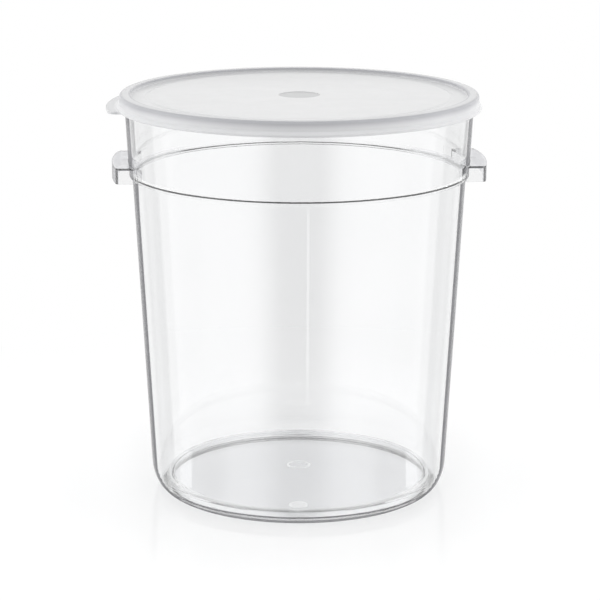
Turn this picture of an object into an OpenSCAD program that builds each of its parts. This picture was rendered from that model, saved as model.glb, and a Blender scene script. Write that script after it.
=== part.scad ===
/* [Body] */
// Outer radius at which the straight wall line would meet the plane the container stands on
foot_r = 140; // [125:0.5:150]
// Outer radius of the body just under the shoulder
shoulder_r = 156.5; // [152:0.1:175]
// Height of the shoulder above the base
shoulder_h = 303; // [120:0.1:380]
// Thickness of the wall, measured level
wall = 3.2; // [2.2:0.1:4.5]
// Thickness of the floor
floor_t = 3.6; // [2.5:0.1:6]
// Width of the rounded corner between floor and wall, outside
corner_w = 16; // [12:1:30]
// Height of the rounded corner between floor and wall, outside
corner_h = 28; // [18:1:36]
// Width of the ring that the container stands on
foot_w = 3.2; // [2:0.1:8]
// Height of the hollow under the raised floor
hollow_h = 10.2; // [4:0.1:12]
// Thickness of the gutter's bottom, round the raised floor
gutter_t = 4.6; // [3:0.1:6]
// Width of the gutter's level bottom, out from the outer edge of the ring below
gutter_flat = 3.3; // [2.6:0.1:5]

/* [Collar] */
// How far the collar stands out past the body at the shoulder
shoulder_step = 2.8; // [2:0.1:6]
// Height of the collar, from the shoulder to the brim
collar_h = 75.1; // [45:0.1:110]
// Thickness of the shoulder, from its underside up to the ledge inside
step_t = 2.4; // [2:0.1:3.5]
// Height over which the ledge inside rises to the collar
ledge_h = 1.6; // [1:0.1:3]
// How far the bead round the brim stands out past the collar
bead_out = 2.5; // [1:0.1:4]
// Height of the bead round the brim
bead_h = 6.5; // [4:0.1:9]

/* [Handles] */
// Width of a handle, from one end wall to the other
handle_w = 93; // [60:1:130]
// How far a handle stands out past the body
handle_reach = 18.9; // [14:0.1:30]
// Radius of a handle's bowed outer face
handle_bow_r = 215; // [150:1:500]
// Height of a handle
handle_h = 14.8; // [10:0.1:26]
// How far a handle's top lies above the shoulder
handle_rise = 14.2; // [8:0.1:20]
// Thickness of a handle's top plate
plate_t = 2; // [1.4:0.1:3]
// Thickness of a handle's outer lip
lip_t = 2.3; // [1.4:0.1:3.5]
// Thickness of a handle's end walls
end_t = 1.4; // [1:0.1:3]
// Rounding of a handle's outer corners, seen from above
handle_corner = 4; // [3.6:0.1:6]
// Half of the angle that the raised patch on the inner face, behind a handle, takes up
pad_angle = 22.5; // [19:0.5:32]
// How far the raised patch stands in past the inner face
pad_rise = 0.4; // [0.3:0.1:1.5]
// How far the rib under a handle's top reaches out from the wall
rib_reach = 6.5; // [3:0.1:9]
// Height of the rib under a handle's top
rib_h = 9; // [4:0.1:11]
// Thickness of the rib under a handle's top
rib_t = 1.6; // [1:0.1:3]

/* [Floor marks] */
// Outer radius of the plain ring moulded on the floor
ring_r = 11; // [6:0.5:20]
// Width of the ring's line
ring_w = 1; // [0.6:0.1:2]
// How far behind the middle of the floor the ring lies
ring_y = 8; // [0:1:60]
// Radius of the plain disc moulded on the floor
disc_r = 8.5; // [5:0.5:14]
// Gap between the disc and the front edge of the raised floor
disc_in = 4; // [3:0.5:60]
// Height of both floor marks
mark_t = 0.4; // [0.3:0.1:1]
// Turn of the line through both floor marks away from the line across the handles
mark_turn = -2.8; // [-90:0.1:90]

/* [Lid] */
// Running gap between the lid and the brim
lid_gap = 0.3; // [0.3:0.05:0.8]
// Thickness of the lid
lid_t = 1.6; // [1.2:0.1:2.4]
// Height of the lid's skirt
skirt_h = 14; // [11.5:0.1:20]
// How far the rolled edge of the skirt stands out
roll_out = 3.2; // [2:0.1:5]
// Height of the rolled edge of the skirt
roll_h = 4.8; // [3.4:0.1:6]
// Gap between the lid's plug and the inside of the brim
plug_gap = 0.6; // [0.3:0.1:1.5]
// Thickness of the lid's plug wall
plug_t = 2.2; // [1.6:0.1:3]
// How far the plug reaches down into the container, below the brim
plug_h = 8; // [6:0.1:12]
// Depth of the sunk panel below the top of the lid's ring
panel_drop = 3.6; // [2.4:0.1:4]
// Radius of the raised middle of the panel
dish_r = 141; // [60:1:148]
// How far the middle of the panel is raised
dish_rise = 1; // [0.4:0.1:1.4]
// Radius of the plain sunk disc in the middle of the lid
lid_mark_r = 19.4; // [8:0.1:40]
// Depth of the sunk disc
lid_mark_t = 0.4; // [0.2:0.1:0.8]

/* [Pull tab] */
// How far the pull tab stands out past the lid's skirt
tab_out = 12.2; // [9:0.1:24]
// Half of the angle that the tab's even front edge takes up
tab_angle = 14; // [6:0.5:24]
// Rounding of the tab's outer corners
tab_corner = 8; // [5:0.5:8.5]
// Rounding where the tab meets the skirt
tab_root = 9; // [3:0.5:14]
// Thickness of the tab
tab_t = 2.2; // [1.4:0.1:3.2]
// Turn of the tab away from the line through the handles
tab_turn = -3.8; // [-90:0.1:90]

/* [Hidden] */
$fn = 144;

cut = 1;
draft = (shoulder_r - foot_r) / shoulder_h;
rim_h = shoulder_h + collar_h;
plate_h = shoulder_h + handle_rise;
ledge_low = shoulder_h + step_t;
ledge_high = ledge_low + ledge_h;
ledge_round = 0.8;
step_fall = 1.2;
step_round = 0.4;
pad_lap = 0.6;
floor_h = hollow_h + floor_t;
foot_in = cup_corner(corner_w, corner_h, foot_r, 0)[0].x - foot_w;
hollow_draft = 0.6;
floor_out = foot_in + wall;
disc_y = floor_out - disc_in - disc_r;
gutter_w = corner_w - wall - gutter_flat;
gutter_round = 1.5;
bead_round = 1.6;
brim_round = 1.2;
edge_round = 0.8;
fine_round = 0.6;
dish_blend = 4;
dish_slope = 3;
ring_round = 3;
inner_round = 1.4;
plug_draft = 0.4;
roll_crown = 0.6;
roll_belly = 0.45;

lid_under = rim_h + lid_gap;
lid_top = lid_under + lid_t;
skirt_low = lid_top - skirt_h;
panel_h = lid_top - panel_drop;
skirt_in = bead_r() + lid_gap;
skirt_out = skirt_in + lid_t;
plug_out = collar_r(rim_h) - wall - plug_gap;
plug_in = plug_out - plug_t;
tab_r = skirt_out + tab_out;

// Outer radius of the body and of the collar at a height
function body_r(z) = foot_r + draft * z;
function collar_r(z) = body_r(z) + shoulder_step;
function bead_r() = collar_r(rim_h) + bead_out;

// Corner arc of a cup, w wide and h high, which ends on a wall line that leans out by the draft;
// line_r is the radius of that line on the base plane, and low is the height of the arc's foot
function cup_corner(w, h, line_r, low, steps = 12) =
    let (turn = atan(w / (h * draft)),
         touch = low + h - h * cos(turn),
         middle = line_r + draft * touch - w * sin(turn))
    [for (i = [0 : steps]) let (a = turn * i / steps)
        [middle + w * sin(a), low + h - h * cos(a), 0]];

// Outline with its corners rounded: each point is [x, y, radius]
function rounded(points, steps = 4) =
    let (n = len(points))
    [for (i = [0 : n - 1])
        let (p = points[i],
             here = [p.x, p.y],
             u = unit([points[(i + n - 1) % n].x, points[(i + n - 1) % n].y] - here),
             v = unit([points[(i + 1) % n].x, points[(i + 1) % n].y] - here),
             half = acos(max(-1, min(1, u * v))) / 2,
             middle = here + unit(u + v) * p.z / sin(half),
             from = here + u * p.z / tan(half) - middle,
             to = here + v * p.z / tan(half) - middle)
        each p.z == 0 ? [here] :
            [for (k = [0 : steps])
                let (w = k / steps, mix = (1 - w) * from + w * to)
                middle + unit(mix) * p.z]];
function unit(a) = a / norm(a);
function reverse(a) = [for (i = [len(a) - 1 : -1 : 0]) a[i]];

// Solid of revolution inside the middle of the wall, from the body past the shoulder to the collar
module wall_core(low, high) {
    half = wall / 2;
    rotate_extrude()
        polygon([
            [0, low], [body_r(low) - half, low],
            [body_r(shoulder_h) - half, shoulder_h], [collar_r(ledge_high) - half, ledge_high],
            [collar_r(high) - half, high], [0, high]
        ]);
}

// Walls, raised floor in its gutter, shoulder and brim in one turn
module shell() {
    bead_low = rim_h - bead_h;
    rotate_extrude()
        polygon(rounded(concat(
            [
                [0, hollow_h, 0],
                [foot_in - hollow_draft, hollow_h, gutter_round],
                [foot_in, 0, fine_round]
            ],
            cup_corner(corner_w, corner_h, foot_r, 0),
            [
                [body_r(shoulder_h), shoulder_h, 0],
                [collar_r(shoulder_h) - step_round, shoulder_h + step_fall / 3, 0],
                [collar_r(shoulder_h + step_fall), shoulder_h + step_fall, 0],
                [collar_r(bead_low - bead_out), bead_low - bead_out, 0],
                [bead_r(), bead_low, edge_round],
                [bead_r(), rim_h, bead_round],
                [collar_r(rim_h) - wall, rim_h, brim_round],
                [collar_r(ledge_high) - wall, ledge_high, ledge_round],
                [body_r(ledge_low) - wall, ledge_low, ledge_round]
            ],
            reverse(cup_corner(gutter_w, corner_h - gutter_t, foot_r - wall, gutter_t)),
            [
                [floor_out + hollow_draft, gutter_t, gutter_round],
                [floor_out, floor_h, gutter_round],
                [0, floor_h, 0]
            ]
        )));
}

// Handle seen from above: a bowed face with round corners, drawn in by the wall thicknesses
module handle_plan(lip, end, corner) {
    bow = handle_bow_r - lip;
    bow_x = shoulder_r + handle_reach - handle_bow_r;
    corner_y = handle_w / 2 - end - corner;
    corner_x = bow_x + sqrt(pow(bow - corner, 2) - pow(corner_y, 2));
    fan = bow / (corner_x - bow_x);
    intersection() {
        translate([bow_x, 0])
            circle(r = bow);
        polygon([[bow_x, 0], [bow_x + bow, -corner_y * fan],
                 [bow_x + 2 * bow, 0], [bow_x + bow, corner_y * fan]]);
    }
    translate([0, -corner_y - corner])
        square([corner_x, 2 * (corner_y + corner)]);
    for (side = [-1, 1])
        translate([corner_x, side * corner_y])
            circle(r = corner);
}

// Hood of a handle: top plate, outer lip and thin end walls round an open finger space
module hood() {
    translate([0, 0, plate_h - handle_h])
        difference() {
            linear_extrude(handle_h)
                handle_plan(0, 0, handle_corner);
            translate([0, 0, -cut])
                linear_extrude(handle_h - plate_t + cut)
                    handle_plan(lip_t, end_t, handle_corner - lip_t);
        }
}

// Rib under the top plate, from the wall out
module handle_rib() {
    high = plate_h - plate_t / 2;
    low = plate_h - plate_t - rib_h;
    reach = collar_r(plate_h) + rib_reach;
    rotate([90, 0, 0])
        translate([0, 0, -rib_t / 2])
            linear_extrude(rib_t)
                polygon([[0, low], [collar_r(low), low], [reach, high - plate_t / 2],
                         [reach, high], [0, high]]);
}

module handle() {
    difference() {
        union() {
            hood();
            handle_rib();
        }
        wall_core(min(plate_h - handle_h, shoulder_h) - cut, plate_h + cut);
    }
}

// Raised patch on the inner face behind a handle
module handle_pad() {
    low = shoulder_h + step_t / 2;
    high = plate_h + pad_lap;
    inner = wall + pad_rise;
    half = wall / 2;
    reach = 2 * shoulder_r;
    intersection() {
        rotate_extrude()
            polygon([
                [collar_r(low) - inner, low], [collar_r(low) - half, low],
                [collar_r(high) - half, high], [collar_r(high) - inner, high]
            ]);
        linear_extrude(high + cut)
            polygon([[0, 0], [reach * cos(pad_angle), -reach * sin(pad_angle)],
                     [2 * reach, 0], [reach * cos(pad_angle), reach * sin(pad_angle)]]);
    }
}

module floor_marks() {
    rotate(mark_turn)
        translate([0, 0, floor_h - mark_t]) {
            translate([0, ring_y])
                difference() {
                    cylinder(r = ring_r, h = 2 * mark_t);
                    translate([0, 0, -cut])
                        cylinder(r = ring_r - ring_w, h = 2 * mark_t + 2 * cut);
                }
            translate([0, -disc_y])
                cylinder(r = disc_r, h = 2 * mark_t);
        }
}

module container() {
    color("aliceblue", 0.35) {
        shell();
        for (side = [0, 1])
            mirror([side, 0, 0]) {
                handle();
                handle_pad();
            }
        floor_marks();
    }
}

// Ring, skirt, plug and panel of the lid in one turn
module lid_shell() {
    dish_h = panel_h + dish_rise;
    dish_edge = dish_r + dish_slope * dish_rise;
    plug_low = lid_under - plug_h;
    rotate_extrude()
        polygon(rounded([
            [0, dish_h - lid_t, 0],
            [dish_r, dish_h - lid_t, dish_blend],
            [dish_edge, panel_h - lid_t, dish_blend],
            [plug_in, panel_h - lid_t, fine_round],
            [plug_in, plug_low, fine_round],
            [plug_out - plug_draft, plug_low, edge_round],
            [plug_out, lid_under, edge_round],
            [skirt_in, lid_under, inner_round],
            [skirt_in, skirt_low, fine_round],
            [skirt_out + roll_crown * roll_out, skirt_low, brim_round],
            [skirt_out + roll_out, skirt_low + roll_belly * roll_h, bead_round],
            [skirt_out, skirt_low + roll_h, inner_round],
            [skirt_out, lid_top, ring_round],
            [plug_in, lid_top, inner_round],
            [plug_in, panel_h, edge_round],
            [dish_edge, panel_h, dish_blend],
            [dish_r, dish_h, dish_blend],
            [lid_mark_r, dish_h, 0],
            [lid_mark_r, dish_h - lid_mark_t, 0],
            [0, dish_h - lid_mark_t, 0]
        ]));
}

// Pull tab seen from above: an even front edge, round corners and hollow roots at the skirt
module tab_plan() {
    root_r = skirt_out + tab_root;
    corner_r = tab_r - tab_corner;
    reach = tab_corner + tab_root;
    spread = acos((pow(root_r, 2) + pow(corner_r, 2) - pow(reach, 2)) / (2 * root_r * corner_r));
    wedge = 2 * tab_r;
    difference() {
        union() {
            intersection() {
                circle(r = tab_r);
                polygon([[0, 0], wedge * [cos(tab_angle), -sin(tab_angle)], [2 * wedge, 0],
                         wedge * [cos(tab_angle), sin(tab_angle)]]);
            }
            for (side = [-1, 1]) {
                corner = corner_r * [cos(tab_angle), side * sin(tab_angle)];
                root = root_r * [cos(tab_angle + spread), side * sin(tab_angle + spread)];
                translate(corner)
                    circle(r = tab_corner);
                difference() {
                    polygon([[0, 0], corner, root]);
                    translate(root)
                        circle(r = tab_root);
                }
            }
        }
        circle(r = skirt_in + lid_t / 2);
    }
}

module lid() {
    color("whitesmoke", 0.75) {
        lid_shell();
        rotate(180 + tab_turn)
            translate([0, 0, skirt_low])
                linear_extrude(tab_t)
                    tab_plan();
    }
}

container();
lid();
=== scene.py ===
import math

import bpy
from mathutils import Matrix, Vector

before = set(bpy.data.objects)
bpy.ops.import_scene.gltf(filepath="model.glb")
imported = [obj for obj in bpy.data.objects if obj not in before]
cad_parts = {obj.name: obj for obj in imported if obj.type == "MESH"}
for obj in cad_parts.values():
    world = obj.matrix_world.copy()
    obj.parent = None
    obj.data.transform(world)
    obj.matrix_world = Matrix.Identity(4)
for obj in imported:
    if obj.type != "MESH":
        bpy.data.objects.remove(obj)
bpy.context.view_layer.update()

# Sizes of the solids that the looks follow, in metres
FOOT_R = 0.1400
WALL_LEAN = 0.05446
COLLAR_STEP = 0.0028
WALL_TOLERANCE = 0.0006
CORNER_W = 0.0160
CORNER_H = 0.0280
CORNER_MIDDLE = 0.12545
CORNER_TOP = 0.0254
CORNER_TOLERANCE = 0.0012
LEDGE = (0.3028, 0.3092)
LEDGE_R = 0.1563
LEDGE_OUT = 0.1600
HANDLE_LOW = 0.3000
HANDLE_LIP = 0.1690
BOW_X = -0.0396
BOW_R = 0.2150
BOW_TOLERANCE = 0.0004
HANDLE_PLATE = 0.3149
HANDLE_TOP = 0.3600
FLOOR_H = 0.0138
FLOOR_PLATE = (0.0095, 0.0145)
FLOOR_EDGE = (0.1238, 0.1258)
RING_PLACE = (0.0004, 0.0080)
RING_R = (0.0093, 0.0116)
DISC_PLACE = (-0.0055, -0.1128)
DISC_R = 0.0086
DISC_LINE = 0.0076
LID_BAND_R = 0.1645
LID_INNER_LINE = (0.1540, 0.1592)
LID_OUTER_LINE = 0.1660
LID_LOW = 0.3660
LID_STEP = 0.3783
LID_FLAT = 0.3797
LID_HIGH = 0.3800

# The handles' line is turned a little away from the camera's picture plane
TURN = math.radians(-2.8)
FRONT = Vector((math.sin(TURN), -math.cos(TURN), 0))
RIGHT = Vector((math.cos(TURN), math.sin(TURN), 0))


# Camera
def make_camera():
    data = bpy.data.cameras.new("camera")
    data.lens = 140.47
    data.sensor_width = 36
    data.clip_end = 60
    camera = bpy.data.objects.new("camera", data)
    bpy.context.scene.collection.objects.link(camera)
    pitch, roll = 0.24177, 0.00184
    turn = Matrix.Rotation(TURN, 4, "Z")
    place = Matrix.Translation(Vector((0.00107, -2.1669, 0.7144)))
    look = Matrix.Rotation(math.pi / 2 - pitch, 4, "X") @ Matrix.Rotation(roll, 4, "Z")
    camera.matrix_world = turn @ place @ look
    bpy.context.scene.camera = camera


# Node helpers
def new_material(name):
    mat = bpy.data.materials.new(name)
    mat.use_nodes = True
    mat.node_tree.nodes.clear()
    return mat, mat.node_tree


def link(tree, out, into):
    tree.links.new(out, into)


def finish_surface(tree, shader, kind="ShaderNodeOutputMaterial"):
    link(tree, shader, tree.nodes.new(kind).inputs["Surface"])


def grey(value):
    return (value, value, value)


def ramp(tree, fac, stops, mode="EASE"):
    made = tree.nodes.new("ShaderNodeValToRGB")
    made.color_ramp.interpolation = mode
    elements = made.color_ramp.elements
    while len(elements) < len(stops):
        elements.new(0.5)
    for element, (place, value) in zip(elements, stops):
        element.position = place
        element.color = (*value, 1)
    link(tree, fac, made.inputs["Fac"])
    return made.outputs["Color"]


def noise(tree, vector, scale, detail=2.0, rough=0.5):
    made = tree.nodes.new("ShaderNodeTexNoise")
    made.inputs["Scale"].default_value = scale
    made.inputs["Detail"].default_value = detail
    made.inputs["Roughness"].default_value = rough
    link(tree, vector, made.inputs["Vector"])
    return made.outputs["Fac"]


def stretched(tree, scale):
    coords = tree.nodes.new("ShaderNodeTexCoord")
    mapping = tree.nodes.new("ShaderNodeMapping")
    mapping.inputs["Scale"].default_value = scale
    link(tree, coords.outputs["Object"], mapping.inputs["Vector"])
    return mapping.outputs["Vector"]


def bump(tree, height, strength, distance):
    made = tree.nodes.new("ShaderNodeBump")
    made.inputs["Strength"].default_value = strength
    made.inputs["Distance"].default_value = distance
    link(tree, height, made.inputs["Height"])
    return made.outputs["Normal"]


def calc(tree, operation, *values):
    made = tree.nodes.new("ShaderNodeMath")
    made.operation = operation
    for socket, value in zip(made.inputs, values):
        if isinstance(value, (int, float)):
            socket.default_value = value
        else:
            link(tree, value, socket)
    return made.outputs[0]


def map_range(tree, value, start, end, low, high):
    made = tree.nodes.new("ShaderNodeMapRange")
    made.interpolation_type = "SMOOTHSTEP"
    for name, number in (("From Min", start), ("From Max", end), ("To Min", low), ("To Max", high)):
        made.inputs[name].default_value = number
    link(tree, value, made.inputs["Value"])
    return made.outputs["Result"]


def mix_shader(tree, fac, first, second):
    made = tree.nodes.new("ShaderNodeMixShader")
    if isinstance(fac, float):
        made.inputs["Fac"].default_value = fac
    else:
        link(tree, fac, made.inputs["Fac"])
    link(tree, first, made.inputs[1])
    link(tree, second, made.inputs[2])
    return made.outputs[0]


def multiply_color(tree, fac, first, second):
    made = tree.nodes.new("ShaderNodeMix")
    made.data_type = "RGBA"
    made.blend_type = "MULTIPLY"
    if isinstance(fac, float):
        made.inputs[0].default_value = fac
    else:
        link(tree, fac, made.inputs[0])
    link(tree, first, made.inputs[6])
    link(tree, second, made.inputs[7])
    return made.outputs[2]


def diffuse(tree, value):
    made = tree.nodes.new("ShaderNodeBsdfDiffuse")
    made.inputs["Color"].default_value = (*value, 1)
    return made.outputs[0]


def glow(tree, kind, strength, color=None):
    made = tree.nodes.new(kind)
    made.inputs["Color"].default_value = (1, 1, 1, 1)
    made.inputs["Strength"].default_value = strength
    if color is not None:
        link(tree, color, made.inputs["Color"])
    return made.outputs[0]


def distance_in_plan(tree, x, y, place=(0, 0)):
    aside = calc(tree, "SUBTRACT", x, place[0])
    along = calc(tree, "SUBTRACT", y, place[1])
    square = calc(tree, "ADD", calc(tree, "MULTIPLY", aside, aside), calc(tree, "MULTIPLY", along, along))
    return calc(tree, "SQRT", square)


def place_of(tree):
    """Object coordinates x, y and z, and the distance from the container's axis."""
    coords = tree.nodes.new("ShaderNodeTexCoord")
    split = tree.nodes.new("ShaderNodeSeparateXYZ")
    link(tree, coords.outputs["Object"], split.inputs[0])
    x, y, z = split.outputs
    return x, y, z, distance_in_plan(tree, x, y)


def within(tree, value, low, high):
    """1 where value lies between low and high, else 0."""
    return calc(tree, "MULTIPLY", calc(tree, "GREATER_THAN", value, low), calc(tree, "LESS_THAN", value, high))


# Materials
def corner_faces(tree, radius, z):
    """1 on the outer face of the rounded corner between floor and wall, else 0."""
    fall = calc(tree, "MAXIMUM", calc(tree, "SUBTRACT", 1.0, calc(tree, "DIVIDE", z, CORNER_H)), 0.0)
    bow = calc(tree, "SQRT", calc(tree, "SUBTRACT", 1.0, calc(tree, "MULTIPLY", fall, fall)))
    line = calc(tree, "MULTIPLY_ADD", bow, CORNER_W, CORNER_MIDDLE - CORNER_TOLERANCE)
    low = calc(tree, "LESS_THAN", z, CORNER_TOP)
    return calc(tree, "MULTIPLY", calc(tree, "GREATER_THAN", radius, line), low)


def handle_faces(tree, radius, z, low):
    """1 on the handles above a height, else 0."""
    line = calc(tree, "SUBTRACT", radius, calc(tree, "MULTIPLY", z, WALL_LEAN))
    outside = calc(tree, "GREATER_THAN", line, FOOT_R + COLLAR_STEP + 2 * WALL_TOLERANCE)
    return calc(tree, "MULTIPLY", outside, within(tree, z, low, HANDLE_TOP))


def handle_fronts(tree, x, y):
    """1 on the bowed outer faces of the handles, else 0."""
    from_bow = distance_in_plan(tree, calc(tree, "ABSOLUTE", x), y, (BOW_X, 0))
    return calc(tree, "GREATER_THAN", from_bow, BOW_R - BOW_TOLERANCE)


def ledge_haze_and_highlight(tree, x, radius, z):
    """Share of white on the shoulder's ledge: a faint haze all round, and a painted highlight where its far side is
    seen behind the handles.
    """
    ledge = calc(tree, "MULTIPLY", within(tree, z, *LEDGE), calc(tree, "LESS_THAN", radius, LEDGE_OUT))
    inside = tree.nodes.new("ShaderNodeNewGeometry").outputs["Backfacing"]
    far_side = calc(tree, "ABSOLUTE", calc(tree, "SUBTRACT", calc(tree, "LESS_THAN", radius, LEDGE_R), inside))
    aside = map_range(tree, calc(tree, "ABSOLUTE", x), 0.100, 0.130, 0.0, 0.50)
    return calc(tree, "MULTIPLY", ledge, calc(tree, "MAXIMUM", calc(tree, "MULTIPLY", far_side, aside), 0.04))


def edge_painted_shade(tree, x, y, z, radius):
    """Share of painted shade: a dark grey mixed in where an outer face is seen so flat that light stays inside the
    wall, painted dark lines round the foot's corner and along the handle fronts.
    """
    line = calc(tree, "SUBTRACT", radius, calc(tree, "MULTIPLY", z, WALL_LEAN))
    body = within(tree, line, FOOT_R - WALL_TOLERANCE, FOOT_R + WALL_TOLERANCE)
    collar = within(tree, line, FOOT_R + COLLAR_STEP - WALL_TOLERANCE, FOOT_R + COLLAR_STEP + WALL_TOLERANCE)
    corner = corner_faces(tree, radius, z)
    weight = tree.nodes.new("ShaderNodeLayerWeight")
    weight.inputs["Blend"].default_value = 0.5
    wide = ramp(tree, weight.outputs["Facing"], [
        (0.0, grey(0.0)), (0.760, grey(0.0)), (0.780, grey(0.95)), (0.81, grey(0.95)), (0.87, grey(0.70)),
        (1.0, grey(0.30)),
    ], "LINEAR")
    narrow = ramp(tree, weight.outputs["Facing"], [
        (0.0, grey(0.0)), (0.790, grey(0.0)), (0.805, grey(0.85)), (0.850, grey(0.80)), (1.0, grey(0.45)),
    ], "LINEAR")
    painted_foot_lines = ramp(tree, calc(tree, "DIVIDE", z, 0.0100), [
        (0.0, grey(0.80)), (0.48, grey(0.80)), (0.54, grey(0.35)), (0.74, grey(0.35)), (0.80, grey(0.85)),
        (0.92, grey(0.85)), (0.97, grey(0.0)), (1.0, grey(0.0)),
    ], "LINEAR")
    lip = ramp(tree, weight.outputs["Facing"], [(0.60, grey(0.0)), (0.72, grey(0.25)), (1.0, grey(0.55))], "LINEAR")
    share = calc(tree, "MULTIPLY", wide, calc(tree, "MAXIMUM", body, corner))
    share = calc(tree, "MAXIMUM", share, calc(tree, "MULTIPLY", narrow, collar))
    share = calc(tree, "MAXIMUM", share, calc(tree, "MULTIPLY", painted_foot_lines, corner))
    share = calc(tree, "MAXIMUM", share, calc(tree, "MULTIPLY", lip, handle_fronts(tree, x, y)))
    inside = tree.nodes.new("ShaderNodeNewGeometry").outputs["Backfacing"]
    return calc(tree, "MULTIPLY", share, calc(tree, "SUBTRACT", 1.0, inside))


def floor_frost_and_highlight(tree, x, y, z, radius):
    """Share of white: the moulded frosted ring and disc on the floor, the disc's rim painted whiter than its fill as a
    painted highlight, and a painted highlight along the floor's rounded edge.
    """
    level = within(tree, z, FLOOR_H - 0.0002, FLOOR_H + 0.0008)
    ring = within(tree, distance_in_plan(tree, x, y, RING_PLACE), *RING_R)
    off_disc = distance_in_plan(tree, x, y, DISC_PLACE)
    # The disc's rim line is whiter than its fill: a painted highlight on the raised edge.
    fill = calc(tree, "MULTIPLY", calc(tree, "LESS_THAN", off_disc, DISC_R), 0.85)
    line = within(tree, off_disc, DISC_LINE, DISC_R)
    marks = calc(tree, "MAXIMUM", ring, calc(tree, "MAXIMUM", fill, line))
    # Painted highlight: a pale line along the floor's rounded edge.
    edge_highlight = calc(tree, "MULTIPLY", within(tree, radius, *FLOOR_EDGE), within(tree, z, 0.0115, FLOOR_H + 0.0004))
    return calc(tree, "MAXIMUM", calc(tree, "MULTIPLY", level, marks), calc(tree, "MULTIPLY", edge_highlight, 0.6))


def clear_plastic():
    """Clear polycarbonate with faint flow waves and scuffs, with painted shade where a wall is seen edge-on, at the
    foot and over the handle hoods, and painted highlights on the ledge and the floor's edge.
    """
    mat, tree = new_material("clear_body")
    shader = tree.nodes.new("ShaderNodeBsdfPrincipled")
    shader.inputs["Transmission Weight"].default_value = 1.0
    shader.inputs["IOR"].default_value = 1.585
    cloud = noise(tree, stretched(tree, (1, 1, 1)), 9.0, 2.0)
    tint = ramp(tree, cloud, [(0.3, (0.957, 0.960, 0.963)), (0.7, (0.969, 0.971, 0.974))])
    x, y, z, radius = place_of(tree)
    # Painted shade: the handle hoods and, more faintly, the floor plate are tinted darker, partly for their thicker
    # plastic and partly as painted shade.
    floor_plate = calc(tree, "MULTIPLY", within(tree, z, *FLOOR_PLATE), calc(tree, "LESS_THAN", radius, FLOOR_EDGE[1]))
    lip = calc(tree, "GREATER_THAN", calc(tree, "ABSOLUTE", x), HANDLE_LIP)
    hood = calc(tree, "MAXIMUM", handle_faces(tree, radius, z, HANDLE_PLATE),
                calc(tree, "MULTIPLY", lip, handle_faces(tree, radius, z, HANDLE_LOW)))
    thick_shade_share = calc(tree, "MAXIMUM", hood, calc(tree, "MULTIPLY", floor_plate, 0.30))
    thick_shade_tint = ramp(tree, thick_shade_share, [(0.0, grey(1.0)), (1.0, (0.66, 0.66, 0.685))], "LINEAR")
    link(tree, multiply_color(tree, 1.0, tint, thick_shade_tint), shader.inputs["Base Color"])
    waves = noise(tree, stretched(tree, (3.0, 3.0, 1.2)), 3.0, 1.0)
    link(tree, bump(tree, waves, 0.03, 0.002), shader.inputs["Normal"])
    scuffs = noise(tree, stretched(tree, (60, 60, 9)), 8.0, 3.0, 0.6)
    link(tree, ramp(tree, scuffs, [(0.35, grey(0.0)), (0.75, grey(0.03))]), shader.inputs["Roughness"])

    # Painted shade: a dark grey diffuse is mixed in at edge-on faces, round the foot and on the handle fronts.
    seen = mix_shader(tree, edge_painted_shade(tree, x, y, z, radius), shader.outputs[0], diffuse(tree, (0.20, 0.20, 0.21)))
    # White diffuse share: faint haze on the handles and ledge, the floor's frosted marks, and painted highlights on
    # the ledge's far side and the floor's edge.
    haze_and_highlight = calc(tree, "MULTIPLY", handle_faces(tree, radius, z, HANDLE_LOW), 0.04)
    haze_and_highlight = calc(tree, "MAXIMUM", haze_and_highlight, ledge_haze_and_highlight(tree, x, radius, z))
    frost_and_highlight = calc(tree, "MAXIMUM", floor_frost_and_highlight(tree, x, y, z, radius), haze_and_highlight)
    seen = mix_shader(tree, frost_and_highlight, seen, diffuse(tree, (1.0, 1.0, 1.0)))
    through = tree.nodes.new("ShaderNodeBsdfTransparent")
    through.inputs["Color"].default_value = (0.97, 0.972, 0.974, 1)
    path = tree.nodes.new("ShaderNodeLightPath")
    soft = calc(tree, "MAXIMUM", path.outputs["Is Shadow Ray"], path.outputs["Is Diffuse Ray"])
    finish_surface(tree, mix_shader(tree, soft, seen, through.outputs[0]))
    return mat


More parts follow.
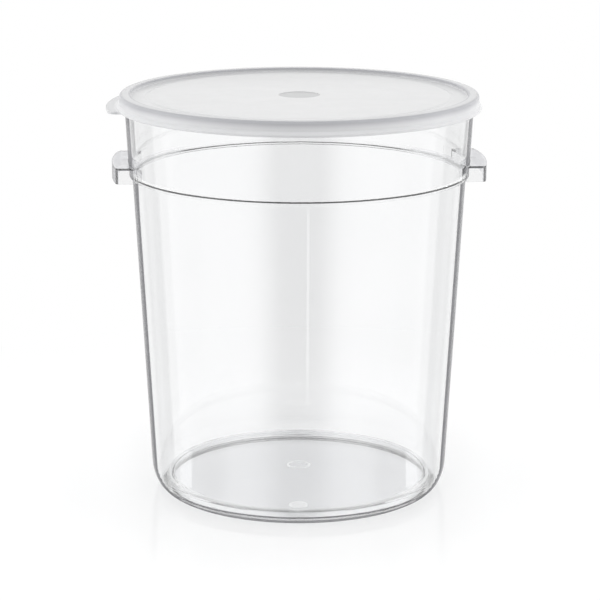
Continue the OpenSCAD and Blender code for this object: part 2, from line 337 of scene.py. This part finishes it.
def lid_tint_and_shade(tree, y, radius, z):
    """Milky white, greyer where the lid is doubled over the brim, at the plug and round the skirt, partly for the
    doubled plastic and partly as painted shade; a grey centre disc, a darker back half, a darker band round the outer
    rounding and painted dark lines at the ring's edges.
    """
    across = ramp(tree, calc(tree, "DIVIDE", radius, 0.2), [
        (0.0, (0.532, 0.534, 0.540)), (0.0968, (0.532, 0.534, 0.540)), (0.0972, (0.776, 0.778, 0.784)),
        (0.64, (0.776, 0.778, 0.784)), (0.72, (0.76, 0.763, 0.77)), (0.765, (0.735, 0.738, 0.745)),
        (0.790, (0.70, 0.703, 0.715)), (0.797, (0.68, 0.683, 0.695)), (0.822, (0.68, 0.683, 0.695)),
        (0.836, (0.78, 0.783, 0.795)), (0.858, (0.78, 0.783, 0.795)), (0.866, (0.68, 0.683, 0.695)),
    ], "LINEAR")
    # Painted shade: the back half of the lid is darker.
    shade_behind = ramp(tree, map_range(tree, y, 0.02, 0.15, 0.0, 1.0), [(0.0, grey(1.0)), (1.0, grey(0.90))], "LINEAR")
    across = multiply_color(tree, 1.0, across, shade_behind)
    height = calc(tree, "DIVIDE", calc(tree, "SUBTRACT", z, LID_LOW), LID_HIGH - LID_LOW)
    # Painted shade: a darker band round the outer rounding and upper skirt.
    down = ramp(tree, height, [
        (0.0, grey(1.0)), (0.50, grey(1.0)), (0.62, (0.90, 0.90, 0.91)), (0.82, (0.68, 0.68, 0.70)),
        (0.98, (0.64, 0.64, 0.66)), (1.0, grey(0.90)),
    ], "LINEAR")
    tint = multiply_color(tree, calc(tree, "GREATER_THAN", radius, LID_BAND_R), across, down)
    # Painted shade: thin dark lines at the ring's inner and outer edges.
    inner = calc(tree, "MULTIPLY", within(tree, radius, *LID_INNER_LINE), calc(tree, "GREATER_THAN", z, LID_STEP))
    outer = calc(tree, "MULTIPLY", calc(tree, "GREATER_THAN", radius, LID_OUTER_LINE),
                 calc(tree, "GREATER_THAN", z, LID_FLAT))
    painted_edge_lines = ramp(tree, calc(tree, "MAXIMUM", inner, outer), [(0.0, grey(1.0)), (1.0, (0.74, 0.74, 0.76))], "LINEAR")
    return multiply_color(tree, 1.0, tint, painted_edge_lines)


def milky_plastic():
    """Milky polyethylene: satin gloss over a fine moulding grain, with cloudy flow in its depth and painted shade on
    its ring, rounding and back half.
    """
    mat, tree = new_material("milky_lid")
    shader = tree.nodes.new("ShaderNodeBsdfPrincipled")
    shader.inputs["IOR"].default_value = 1.49
    shader.inputs["Transmission Weight"].default_value = 0.15
    x, y, z, radius = place_of(tree)
    coords = stretched(tree, (1, 1, 1))
    cloud = noise(tree, coords, 22.0, 3.0, 0.55)
    flow = ramp(tree, cloud, [(0.3, grey(0.985)), (0.7, grey(1.0))])
    link(tree, multiply_color(tree, 1.0, lid_tint_and_shade(tree, y, radius, z), flow), shader.inputs["Base Color"])
    link(tree, ramp(tree, cloud, [(0.3, grey(0.20)), (0.7, grey(0.25))]), shader.inputs["Roughness"])
    link(tree, bump(tree, noise(tree, coords, 900.0, 2.0), 0.08, 0.0003), shader.inputs["Normal"])
    through = tree.nodes.new("ShaderNodeBsdfTransparent")
    through.inputs["Color"].default_value = (0.75, 0.752, 0.755, 1)
    path = tree.nodes.new("ShaderNodeLightPath")
    finish_surface(tree, mix_shader(tree, path.outputs["Is Shadow Ray"], shader.outputs[0], through.outputs[0]))
    return mat


# Studio
def mirrored_ray(tree):
    """1 for a ray that a glossy face has mirrored on its way, else 0."""
    path = tree.nodes.new("ShaderNodeLightPath")
    return calc(tree, "GREATER_THAN", path.outputs["Glossy Depth"], 0.5)


def sharp_ray(tree):
    """1 for a ray from the camera that was at most mirrored or refracted, else 0."""
    path = tree.nodes.new("ShaderNodeLightPath")
    bent = calc(tree, "MAXIMUM", path.outputs["Is Glossy Ray"], path.outputs["Is Transmission Ray"])
    return calc(tree, "MAXIMUM", path.outputs["Is Camera Ray"], bent)


def along(tree, vector, axis):
    """Share of a direction along an axis."""
    made = tree.nodes.new("ShaderNodeVectorMath")
    made.operation = "DOT_PRODUCT"
    made.inputs[1].default_value = axis
    link(tree, vector, made.inputs[0])
    return made.outputs["Value"]


def round_view(tree, vector):
    """Brightness that a mirrored ray meets: panels and gaps round the container, bright above its height."""
    flat = tree.nodes.new("ShaderNodeVectorMath")
    flat.operation = "MULTIPLY"
    flat.inputs[1].default_value = (1, 1, 0)
    link(tree, vector, flat.inputs[0])
    unit = tree.nodes.new("ShaderNodeVectorMath")
    unit.operation = "NORMALIZE"
    link(tree, flat.outputs[0], unit.inputs[0])
    panels = [(180, 0.90), (142, 0.90), (135, 0.64), (115, 0.58), (112, 1.0), (42, 1.0), (30, 0.85),
              (22, 0.52), (15, 0.22), (8, 0.02), (0, 0.0)]
    share = calc(tree, "MULTIPLY_ADD", along(tree, unit.outputs[0], FRONT), 0.5, 0.5)
    stops = [((1 + math.cos(math.radians(angle))) / 2, grey(value)) for angle, value in panels]
    around = ramp(tree, share, stops, "LINEAR")
    rise = along(tree, vector, (0, 0, 1))
    above = map_range(tree, rise, 0.12, 0.22, 0.0, 0.90)
    around = calc(tree, "MAXIMUM", around, map_range(tree, rise, -0.314, -0.298, 0.0, 0.22))
    aside = calc(tree, "ABSOLUTE", along(tree, vector, RIGHT))
    shade = calc(tree, "MULTIPLY", map_range(tree, aside, 0.038, 0.050, 0.0, 0.22), within(tree, rise, 0.25, 0.36))
    shade = calc(tree, "MULTIPLY", shade, map_range(tree, aside, 0.070, 0.073, 1.0, 0.0))
    shade = calc(tree, "MULTIPLY", shade, calc(tree, "LESS_THAN", along(tree, vector, FRONT), 0.0))
    return calc(tree, "MULTIPLY", calc(tree, "MAXIMUM", around, above), calc(tree, "SUBTRACT", 1.0, shade))


def small_panels(tree, vector):
    """Extra light that a mirrored ray meets: a lit slit by the camera and a pane at each side behind."""
    aside = along(tree, vector, RIGHT)
    rise = along(tree, vector, (0, 0, 1))
    ahead = along(tree, vector, FRONT)
    slit = calc(tree, "MULTIPLY", within(tree, aside, 0.090, 0.120), calc(tree, "GREATER_THAN", ahead, 0.0))
    slit = calc(tree, "MULTIPLY", slit, map_range(tree, rise, -0.312, -0.302, 1.0, 0.0))
    slit = calc(tree, "MULTIPLY", slit, map_range(tree, rise, -0.394, -0.362, 0.0, 1.0))
    pane = within(tree, calc(tree, "ABSOLUTE", aside), 0.0720, 0.0876)
    pane = calc(tree, "MULTIPLY", pane, within(tree, rise, 0.296, 0.322))
    pane = calc(tree, "MULTIPLY", pane, calc(tree, "LESS_THAN", ahead, 0.0))
    return calc(tree, "ADD", calc(tree, "MULTIPLY", slit, 1.10), calc(tree, "MULTIPLY", pane, 0.55))


def make_world():
    world = bpy.data.worlds.new("studio")
    world.use_nodes = True
    tree = world.node_tree
    tree.nodes.clear()
    coords = tree.nodes.new("ShaderNodeTexCoord")
    direction = coords.outputs["Generated"]
    white = glow(tree, "ShaderNodeBackground", 1.0)
    ambient = glow(tree, "ShaderNodeBackground", 0.65)
    large = glow(tree, "ShaderNodeBackground", 1.12, round_view(tree, direction))
    small = tree.nodes.new("ShaderNodeBackground")
    link(tree, small_panels(tree, direction), small.inputs["Strength"])
    both = tree.nodes.new("ShaderNodeAddShader")
    link(tree, large, both.inputs[0])
    link(tree, small.outputs[0], both.inputs[1])
    panels = both.outputs[0]
    level = map_range(tree, along(tree, direction, (0, 0, 1)), 0.55, 0.80, 1.0, 0.0)
    seen = mix_shader(tree, calc(tree, "MULTIPLY", mirrored_ray(tree), level), white, panels)
    finish_surface(tree, mix_shader(tree, sharp_ray(tree), ambient, seen), "ShaderNodeOutputWorld")
    bpy.context.scene.world = world


def floor_material():
    """Matt pale floor that fades to the white of the backdrop and keeps the contact shadow."""
    mat, tree = new_material("floor")
    coords = tree.nodes.new("ShaderNodeTexCoord")
    place = coords.outputs["Object"]
    length = tree.nodes.new("ShaderNodeVectorMath")
    length.operation = "LENGTH"
    link(tree, place, length.inputs[0])
    away = length.outputs["Value"]
    matt = tree.nodes.new("ShaderNodeBsdfDiffuse")
    cloud = noise(tree, place, 3.0, 2.0)
    link(tree, ramp(tree, cloud, [(0.3, grey(0.80)), (0.7, grey(0.81))]), matt.inputs["Color"])
    lifted = tree.nodes.new("ShaderNodeAddShader")
    link(tree, matt.outputs[0], lifted.inputs[0])
    link(tree, glow(tree, "ShaderNodeEmission", 0.185), lifted.inputs[1])
    mirror = tree.nodes.new("ShaderNodeBsdfGlossy")
    mirror.inputs["Roughness"].default_value = 0.12
    sheen = mix_shader(tree, map_range(tree, away, 0.18, 0.36, 0.13, 0.0), lifted.outputs[0], mirror.outputs[0])
    white = glow(tree, "ShaderNodeEmission", 1.0)
    near = mix_shader(tree, map_range(tree, away, 0.20, 0.60, 0.0, 1.0), sheen, white)
    panels_show = tree.nodes.new("ShaderNodeBsdfTransparent").outputs[0]
    seen = mix_shader(tree, mirrored_ray(tree), near, panels_show)
    finish_surface(tree, mix_shader(tree, sharp_ray(tree), matt.outputs[0], seen))
    return mat


def area_lamp(name, azimuth, distance, height, size, aim_z, radiance):
    data = bpy.data.lights.new(name, "AREA")
    data.shape = "RECTANGLE"
    data.size, data.size_y = size
    data.energy = radiance * math.pi * size[0] * size[1]
    lamp = bpy.data.objects.new(name, data)
    bpy.context.scene.collection.objects.link(lamp)
    angle = math.radians(azimuth) + TURN
    lamp.location = (distance * math.sin(angle), -distance * math.cos(angle), height)
    aim = Vector((0, 0, aim_z)) - lamp.location
    lamp.rotation_euler = aim.to_track_quat("-Z", "Y").to_euler()
    lamp.visible_glossy = False
    lamp.visible_transmission = False


def make_studio():
    make_world()
    area_lamp("softbox_left", -80, 1.5, 0.75, (1.9, 1.3), 0.25, 1.70)
    area_lamp("softbox_right", 80, 1.5, 0.75, (1.9, 1.3), 0.25, 1.70)
    area_lamp("softbox_top", 180, 0.3, 2.4, (1.4, 1.4), 0.3, 1.44)
    bpy.ops.mesh.primitive_circle_add(vertices=96, radius=9, fill_type="NGON", location=(0, 0, -0.0002))
    floor = bpy.context.object
    floor.name = "floor"
    floor.data.materials.append(floor_material())


# The two pieces
def dress(name, mat):
    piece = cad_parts[name]
    piece.data.materials.clear()
    piece.data.materials.append(mat)


make_camera()
bpy.context.scene.view_settings.view_transform = "Standard"
make_studio()
dress("container", clear_plastic())
dress("lid", milky_plastic())
